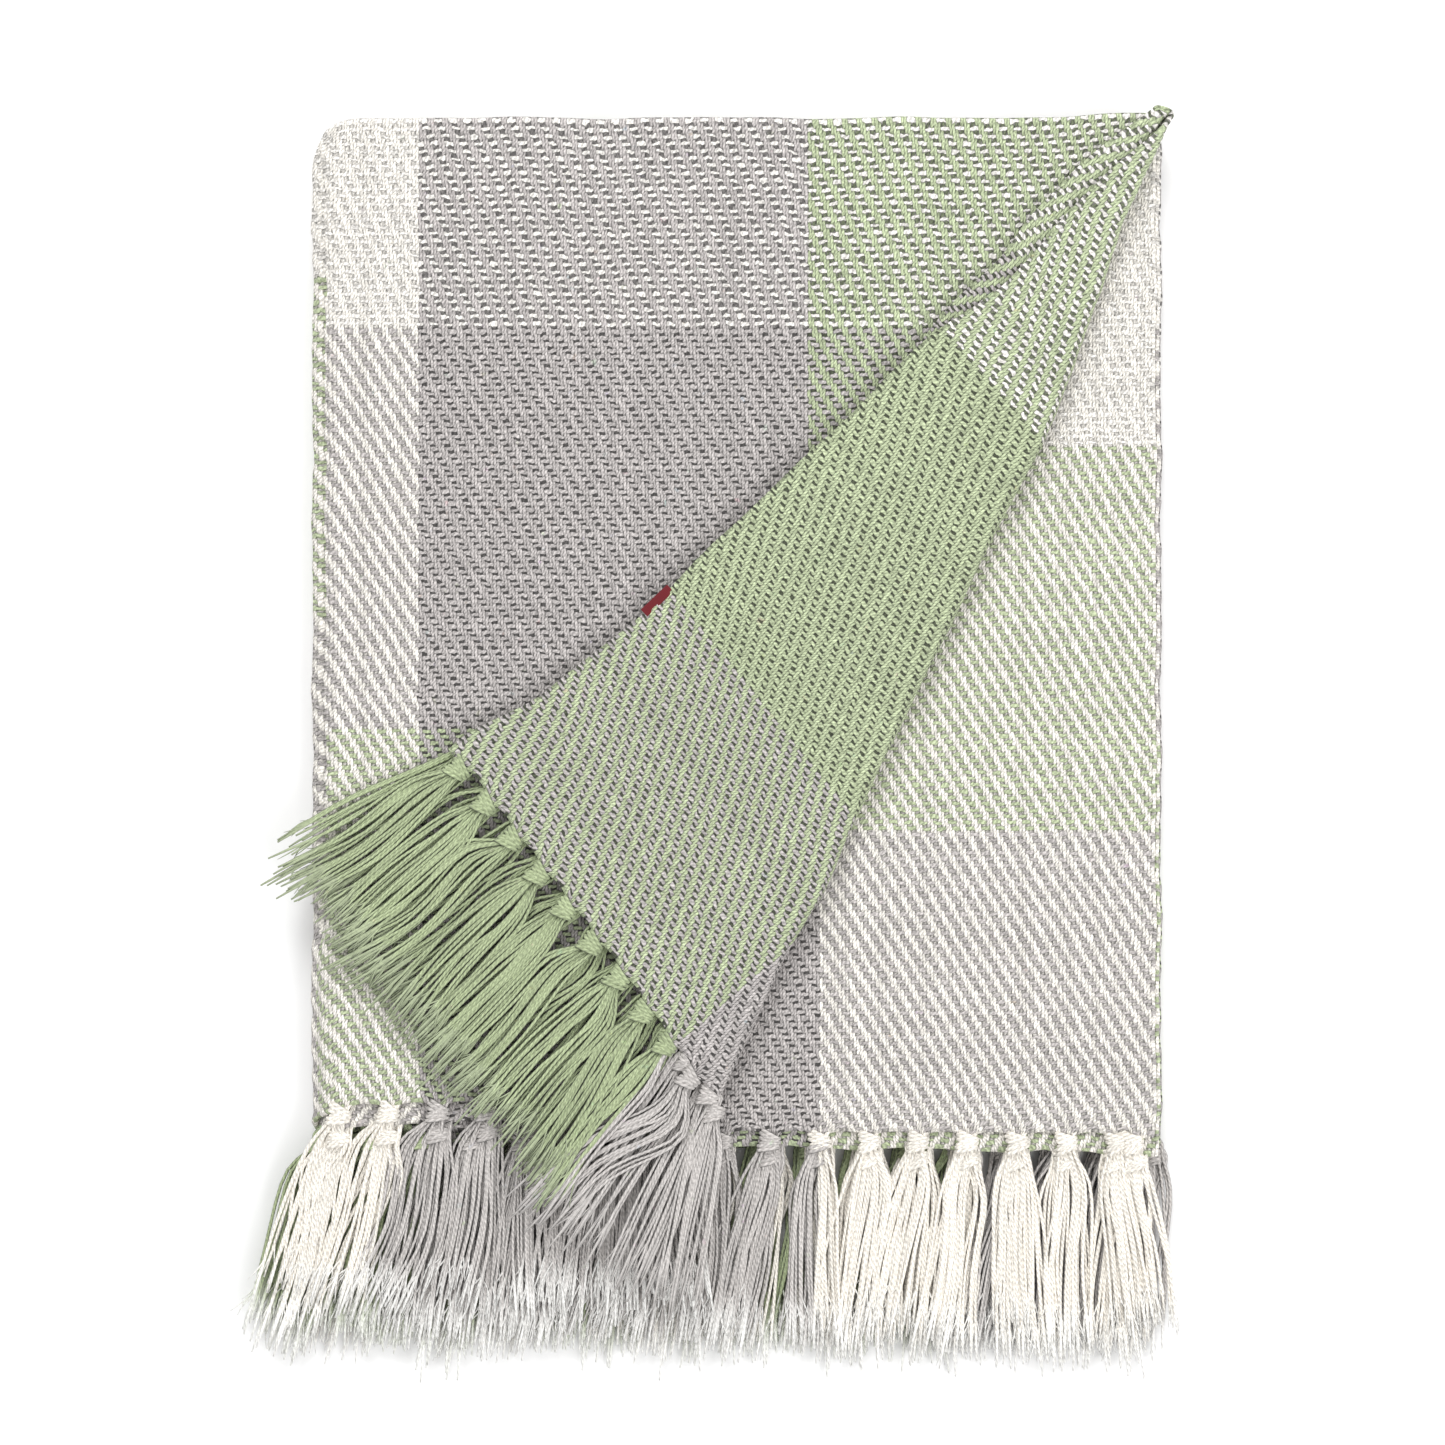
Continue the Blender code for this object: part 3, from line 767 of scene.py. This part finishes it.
# ---- Fringe ----
def tubes(paths, radii, sides, across_hint):
    """Closed tubes around many paths at once: vertices, faces, and each vertex's side from -1 to 1."""
    count, steps, _ = paths.shape
    heading = np.gradient(paths, axis=1)
    heading /= np.linalg.norm(heading, axis=-1, keepdims=True)
    first = np.cross(heading, across_hint)
    first /= np.linalg.norm(first, axis=-1, keepdims=True)
    second = np.cross(heading, first)
    turns = 2 * math.pi * np.arange(sides) / sides
    ring = (first[:, :, None, :] * np.cos(turns)[:, None] + second[:, :, None, :] * np.sin(turns)[:, None])
    points = paths[:, :, None, :] + ring * radii[:, :, None, None]
    index = np.arange(count * steps * sides).reshape(count, steps, sides)
    nxt = np.roll(index, -1, axis=2)
    walls = np.stack((index[:, :-1], nxt[:, :-1], nxt[:, 1:], index[:, 1:]), -1).reshape(-1, 4).tolist()
    caps = index[:, 0].tolist() + index[:, -1, ::-1].tolist()
    side = np.broadcast_to(np.cos(turns), (count, steps, sides))
    return points.reshape(-1, 3), walls + caps, side.ravel()


def bend_through(controls, samples):
    """Catmull-Rom curves through control points; controls is (count, points, 3)."""
    first = 2 * controls[:, :1] - controls[:, 1:2]
    last = 2 * controls[:, -1:] - controls[:, -2:-1]
    padded = np.concatenate((first, controls, last), axis=1)
    spans = controls.shape[1] - 1
    place = np.linspace(0, spans, samples)
    span = np.minimum(place.astype(int), spans - 1)
    u = (place - span)[None, :, None]
    p0, p1, p2, p3 = (padded[:, span + k] for k in range(4))
    return 0.5 * (2 * p1 + (p2 - p0) * u + (2 * p0 - 5 * p1 + 4 * p2 - p3) * u ** 2
                  + (3 * p1 - p0 - 3 * p2 + p3) * u ** 3)


class FringeRow:
    """The strands and knots of one row of tassels, gathered into one mesh."""

    def __init__(self, name, face, lean, tip_level, strands, seed):
        self.name, self.face, self.lean = name, face, lean
        self.tip_level, self.strands = tip_level, strands
        self.width, self.gather = TIGHT if strands > BUSHY else LOOSE
        self.palest = CORNER_PALEST if name.startswith("flap") else 1.0
        self.rng = np.random.default_rng(seed)
        self.points, self.faces, self.weave = [], [], []
        self.size = 0

    def add(self, paths, radii, sides, hint, warp, start):
        """Add tubes; warp is each tube's warp end, start the distance from the hem of its first point."""
        points, faces, side = tubes(paths, radii, sides, hint)
        steps = np.linalg.norm(np.diff(paths, axis=1), axis=-1)
        along = start + np.concatenate((np.zeros((len(paths), 1)), np.cumsum(steps, axis=1)), axis=1)
        along = np.minimum(along, self.palest)
        warp = np.repeat(warp, paths.shape[1] * sides)
        weave = np.stack((warp, np.repeat(along.ravel(), sides), side), axis=-1)
        self.faces += [[n + self.size for n in face] for face in faces]
        self.points.append(points)
        self.weave.append(weave)
        self.size += len(points)

    def tassel(self, m, share):
        """One tassel with its knot, hanging from the hem at m; share is its place along the row."""
        rng = self.rng
        depth = float(hem_depth(self.face, m))
        root = cloth_points(self.face, m, depth)
        inner = cloth_points(self.face, m, depth - 0.006)
        out = root - inner
        out[2] = 0
        out /= np.linalg.norm(out)
        angle = self.lean(share) + rng.normal(0, math.radians(3.2))
        ahead = np.array((out[0] * math.cos(angle) - out[1] * math.sin(angle),
                          out[0] * math.sin(angle) + out[1] * math.cos(angle), 0.0))
        across = np.array((-ahead[1], ahead[0], 0.0))
        up = np.array((0.0, 0.0, 1.0))
        root[2] = max(root[2], KNOT_HEIGHT)
        tip_level = self.tip_level + rng.uniform(0, 0.0012)
        n = self.strands
        length = TASSEL_LENGTH * (1 + rng.normal(0, 0.04))
        knot = root + out * 0.0006 + ahead * 0.0026 + up * (tip_level - root[2]) * 0.04

        fan = (np.arange(n) + 0.5) / n * 2 - 1
        total = path_stretches(self.face)[1]
        spot = np.clip(m + fan * HEM_SPREAD, HEM_INSET, total - HEM_INSET)
        starts = cloth_points(self.face, spot, hem_depth(self.face, spot) - HEM_INSET)
        fan = fan * (np.sign(np.dot(starts[-1] - starts[0], across)) or 1.0)
        layer = rng.uniform(-1, 1, n)
        width = self.width * (1 + rng.normal(0, 0.12))
        bend, sway = rng.normal(0, 0.0035), rng.normal(0, 0.0022)
        wander = np.cumsum(rng.normal(0, 0.0014, (n, 3)), axis=1)
        levels = tip_level + (layer + 1) * 0.0008
        lengths = length * (1 + rng.normal(0, 0.045, n))
        controls = [starts]
        for past, wide, thick in NECK_STATIONS:
            controls.append(knot + ahead * past + across * (fan * self.gather * wide)[:, None]
                            + up * (layer * thick)[:, None])
        for number, (far, wide, drop) in enumerate(STRAND_STATIONS):
            reach = NECK_LENGTH + (lengths - NECK_LENGTH) * far
            curve = bend * far * far + sway * math.sin(2 * math.pi * far)
            shift = fan * width * wide + wander[:, number] + curve
            level = knot[2] + (levels - knot[2]) * drop
            controls.append(root + ahead * reach[:, None] + across * shift[:, None]
                            + up * (level - root[2])[:, None])
        paths = bend_through(np.stack(controls, axis=1), 20)
        radii = np.full(paths.shape[:2], STRAND_RADIUS) * (1 + rng.normal(0, 0.05, (n, 1)))
        radii[:, -3:] *= np.array((0.94, 0.80, 0.50))
        warp = warp_count(self.face, spot) + rng.uniform(-0.3, 0.3, n)
        self.add(paths, radii, 6, up, warp, 0.0)
        self.fray(paths, warp, ahead, across, up)
        self.knot(knot, ahead, across, up, float(np.median(warp)))

    def fray(self, paths, warp, ahead, across, up):
        """Loose fibres at the end of each strand."""
        rng = self.rng
        tips = np.repeat(paths[:, -3], 2, axis=0)
        n = len(tips)
        reach = rng.uniform(0.007, 0.018, n)[:, None]
        drift = rng.normal(0, 0.0024, n)[:, None]
        rise = np.minimum(rng.normal(0, 0.0007, n), 0.0012)[:, None]
        ends = tips + ahead * reach + across * drift + up * rise
        middles = (tips + ends) / 2 + across * rng.normal(0, 0.0006, n)[:, None]
        paths = bend_through(np.stack((tips, middles, ends), axis=1), 5)
        paths[..., 2] = np.maximum(paths[..., 2], 0.0004)
        radii = np.broadcast_to(np.array(FRAY_RADII), paths.shape[:2])
        self.add(paths, radii, 4, up, np.repeat(warp, 2), TASSEL_LENGTH * 0.95)

    def knot(self, centre, ahead, across, up, warp):
        """Overhand knot: four strands wound round the tassel's neck, in two lobes that cross."""
        rng = self.rng
        turns = np.linspace(-0.15, 1.45, 22) * 2 * math.pi
        lift = np.linspace(-1, 1, len(turns))
        coils = []
        for lane in range(4):
            slant = 0.0016 if lane < 2 else -0.0014
            shift = (lane - 1.5) * COIL_PITCH
            radius = KNOT_HALF_WIDTH + 0.0005 * math.sin(lane * 2.1) + rng.normal(0, 0.00025)
            coils.append(centre + np.outer(lift * 0.0016 + shift + slant * np.cos(turns), ahead)
                         + np.outer(radius * np.cos(turns), across)
                         + np.outer(KNOT_HALF_HEIGHT * np.sin(turns) + 0.0004, up))
        paths = np.stack(coils)
        radii = np.full(paths.shape[:2], KNOT_COIL)
        radial = np.outer(np.cos(turns), across) + np.outer(np.sin(turns), up)
        self.add(paths, radii, 6, radial, np.full(4, warp) + rng.uniform(-0.3, 0.3, 4), 0.02)

    def build(self, body, slot, *nodes):
        """Make the row's object."""
        mesh = bpy.data.meshes.new(self.name)
        mesh.from_pydata(np.concatenate(self.points).tolist(), [], self.faces)
        attribute = mesh.attributes.new("weave", "FLOAT_VECTOR", "POINT")
        attribute.data.foreach_set("vector", np.concatenate(self.weave).astype(np.float32).ravel())
        mesh.shade_smooth()
        close_outwards(mesh)
        mesh.materials.append(FRINGE)
        item = new_object(self.name, mesh)
        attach(item, body)
        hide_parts(*nodes)
        return item


def fringe_row(name, face, first, last, lean, tip_level, strands, seed, body, slot, *nodes):
    """The tassels of one ply, between two places along its hem."""
    row = FringeRow(name, face, lean, tip_level, strands, seed)
    for m in TASSELS[face]:
        if first < m <= last:
            row.tassel(m, (m - first) / (last - first))
    return row.build(body, slot, *nodes)


def numbered(prefix):
    """CAD nodes of a row of single tassels."""
    return sorted(node for node in frame["nodes"] if node.startswith(prefix))


def make_fringe():
    """All ten rows, top row first, listed by the sheet that they hang from."""
    runs = {face: [s for s in path_stretches(face)[0] if s[0] == "run"] for face in (FRONT, REVERSE)}
    margin = 0.006

    def span(face, panel):
        _, start, length, *_ = runs[face][panel]
        before = margin if panel > 0 else 0.0
        after = margin if panel < 3 else 0.0
        return start - before, start + length + after

    def tip(layer):
        return 0.0012 + 0.00165 * layer

    def turn(start, end, power=1.0):
        return lambda share: math.radians(start + (end - start) * share ** power)

    table = [
        ("flap_upper_fringe_row", REVERSE, 0, CREASE_HEM[REVERSE] - margin, turn(-2, 8), STACK_TOP + 0.0030,
         20, 11, "corner_flap", "green_yarn", *numbered("flap_tassel")),
        ("flap_lower_fringe_row", FRONT, 0, CREASE_HEM[FRONT] - margin, turn(-4, 6), STACK_TOP + 0.0012,
         15, 12, "corner_flap", "green_yarn", "flap_lower_fringe"),
        ("front_upper_fringe_row", FRONT, CREASE_HEM[FRONT] + margin, span(FRONT, 0)[1],
         turn(-6, -22, 2.0), tip(7), 20, 13, "stack", "grey_yarn", *numbered("front_upper_tassel")),
        ("front_lower_fringe_row", REVERSE, CREASE_HEM[REVERSE] + margin, span(REVERSE, 0)[1],
         turn(-7, -14), tip(6), 15, 14, "stack", "grey_yarn", "front_lower_fringe"),
        ("second_upper_fringe_row", REVERSE, *span(REVERSE, 3), turn(-11, 15, 6.0), tip(5),
         20, 15, "stack", "cream_yarn", "second_upper_fringe", *numbered("second_upper_tassel")),
        ("second_lower_fringe_row", FRONT, *span(FRONT, 3), turn(-9, 1), tip(4),
         16, 16, "stack", "cream_yarn", "second_lower_fringe"),
        ("third_upper_fringe_row", FRONT, *span(FRONT, 2), turn(-4, -8), tip(3),
         14, 17, "stack", "green_yarn", "third_upper_fringe"),
        ("third_lower_fringe_row", REVERSE, *span(REVERSE, 2), turn(-5, -10), tip(2),
         14, 18, "stack", "grey_yarn", "third_lower_fringe"),
        ("back_upper_fringe_row", REVERSE, *span(REVERSE, 1), turn(-7, -3), tip(1),
         14, 19, "stack", "cream_yarn", "back_upper_fringe"),
        ("back_lower_fringe_row", FRONT, *span(FRONT, 1), turn(-9, -6), tip(0),
         14, 20, "stack", "grey_yarn", "back_lower_fringe"),
    ]
    hung = {FRONT: [], REVERSE: []}
    for name, face, *facts in table:
        hung[face].append(fringe_row(name, face, *facts))
    return hung


# ---- Sheet objects ----
def make_sheet(name, face, start, end, nodes):
    """Build a sheet, give it the cloth material and hide the CAD plies that it stands for."""
    item = sheet_mesh(name, face)
    item.data.materials.append(CLOTH)
    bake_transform(item)
    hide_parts(*nodes)
    return item


def make_cloth():
    """The two sheets."""
    gap_low, gap_high = STACK_TOP + 0.00015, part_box("flap_lower_ply")[0].z - 0.00010
    front = make_sheet("cloth_front_sheet", FRONT, gap_low, gap_high, [
        PLY_NODES[1], PLY_NODES[4], PLY_NODES[5], PLY_NODES[8], "flap_lower_ply",
        "left_fold_ply1_to_ply8", "left_fold_ply4_to_ply5", "centre_fold_ply5_to_ply8",
        "top_fold_front_panel", "top_fold_second_panel"])
    reverse = make_sheet("cloth_reverse_sheet", REVERSE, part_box(PLY_NODES[2])[1].z + 0.00015,
                         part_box("flap_upper_ply")[0].z - 0.00015, [
        PLY_NODES[2], PLY_NODES[3], PLY_NODES[6], PLY_NODES[7], "flap_upper_ply",
        "left_fold_ply2_to_ply7", "left_fold_ply3_to_ply6", "centre_fold_ply6_to_ply7",
        "top_fold_third_panel", "top_fold_back_panel"])
    return front, reverse


# ---- Label ----
def make_label():
    """A small folded ribbon tab, sewn to the corner's selvage where its CAD solid lies."""
    lowest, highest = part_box("woven_label")
    wanted = np.array(((lowest + highest) / 2)[:2])
    depths = np.linspace(0.05, SHEET_DEPTH[REVERSE] - 0.02, 400)
    selvage = cloth_points(REVERSE, 0.0, depths)
    nearest = int(np.linalg.norm(selvage[:, :2] - wanted, axis=1).argmin())
    along = Vector(selvage[nearest] - selvage[nearest + 4]).normalized()
    along.z = 0
    out = Vector((-along.y, along.x, 0))
    length, depth, thickness = 0.0160, 0.0043, 0.0013
    centre = Vector(selvage[nearest]) + out * (depth * 0.30) + Vector((0, 0, 0.0010))
    builder = bmesh.new()
    bmesh.ops.create_cube(builder, size=1.0)
    for corner in builder.verts:
        a, b, c = corner.co
        corner.co = centre + along * (a * length) + out * (b * depth) + Vector((0, 0, c * thickness))
    bmesh.ops.bevel(builder, geom=list(builder.edges), offset=0.00045, segments=3, profile=0.6,
                    affect="EDGES")
    bmesh.ops.subdivide_edges(builder, edges=list(builder.edges), cuts=3, use_grid_fill=True)
    for corner in builder.verts:
        place = (corner.co - centre).dot(along)
        corner.co.z += 0.00035 * math.sin(place * 420) - 0.0002
    bmesh.ops.recalc_face_normals(builder, faces=builder.faces)
    mesh = bpy.data.meshes.new("red_label_tab")
    builder.to_mesh(mesh)
    builder.free()
    mesh.shade_smooth()
    mesh.materials.append(label_material())
    item = new_object("red_label_tab", mesh)
    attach(item, "corner_flap")
    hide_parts("woven_label")
    return item


# ---- Stage ----
FRAME_WIDTH = 0.6358
FRAME_CENTRE = (-0.0066, -0.0429)
LENS = 100.0
SENSOR = 36.0


def make_floor():
    """A plain white floor."""
    mesh = bpy.data.meshes.new("floor")
    builder = bmesh.new()
    bmesh.ops.create_grid(builder, x_segments=1, y_segments=1, size=6.0)
    builder.to_mesh(mesh)
    builder.free()
    floor = new_object("floor", mesh)
    floor.location.z = -0.0003
    material = bpy.data.materials.new("pale_floor")
    material.use_nodes = True
    inputs = material.node_tree.nodes["Principled BSDF"].inputs
    for socket, value in (("Base Color", (0.90, 0.90, 0.90, 1.0)), ("Roughness", 0.95),
                          ("Specular IOR Level", 0.0)):
        inputs[socket].default_value = value
    mesh.materials.append(material)


def area_light(name, place, size, power):
    """A soft square light that faces the throw."""
    lamp = bpy.data.lights.new(name, "AREA")
    lamp.shape = "SQUARE"
    lamp.size = size
    lamp.energy = power
    item = new_object(name, lamp)
    item.location = place
    item.rotation_euler = (-Vector(place)).to_track_quat("-Z", "Y").to_euler()


def make_light():
    """An even white dome, a soft key from beyond the top fold and a weaker fill from the lower right."""
    world = bpy.data.worlds.new("studio")
    world.use_nodes = True
    inputs = world.node_tree.nodes["Background"].inputs
    inputs["Color"].default_value, inputs["Strength"].default_value = (1.0, 1.0, 1.0, 1.0), 0.78
    bpy.context.scene.world = world
    area_light("key", (-0.5, 2.2, 2.3), 1.5, 62.0)
    area_light("fill", (1.5, -0.9, 2.0), 1.6, 30.0)


def make_camera():
    """Straight down on the throw, through a long lens."""
    data = bpy.data.cameras.new("camera")
    data.lens = LENS
    data.sensor_width = SENSOR
    camera = new_object("camera", data)
    distance = FRAME_WIDTH * LENS / SENSOR
    camera.location = (*FRAME_CENTRE, distance + STACK_TOP)
    bpy.context.scene.camera = camera
    bpy.context.scene.view_settings.view_transform = "Standard"


# ---- Assembly ----
CLOTH = cloth_material()
FRINGE = fringe_material()
front_sheet, reverse_sheet = make_cloth()
fringe = make_fringe()
tab = make_label()
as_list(fringe[FRONT])
make_floor()
make_light()
make_camera()
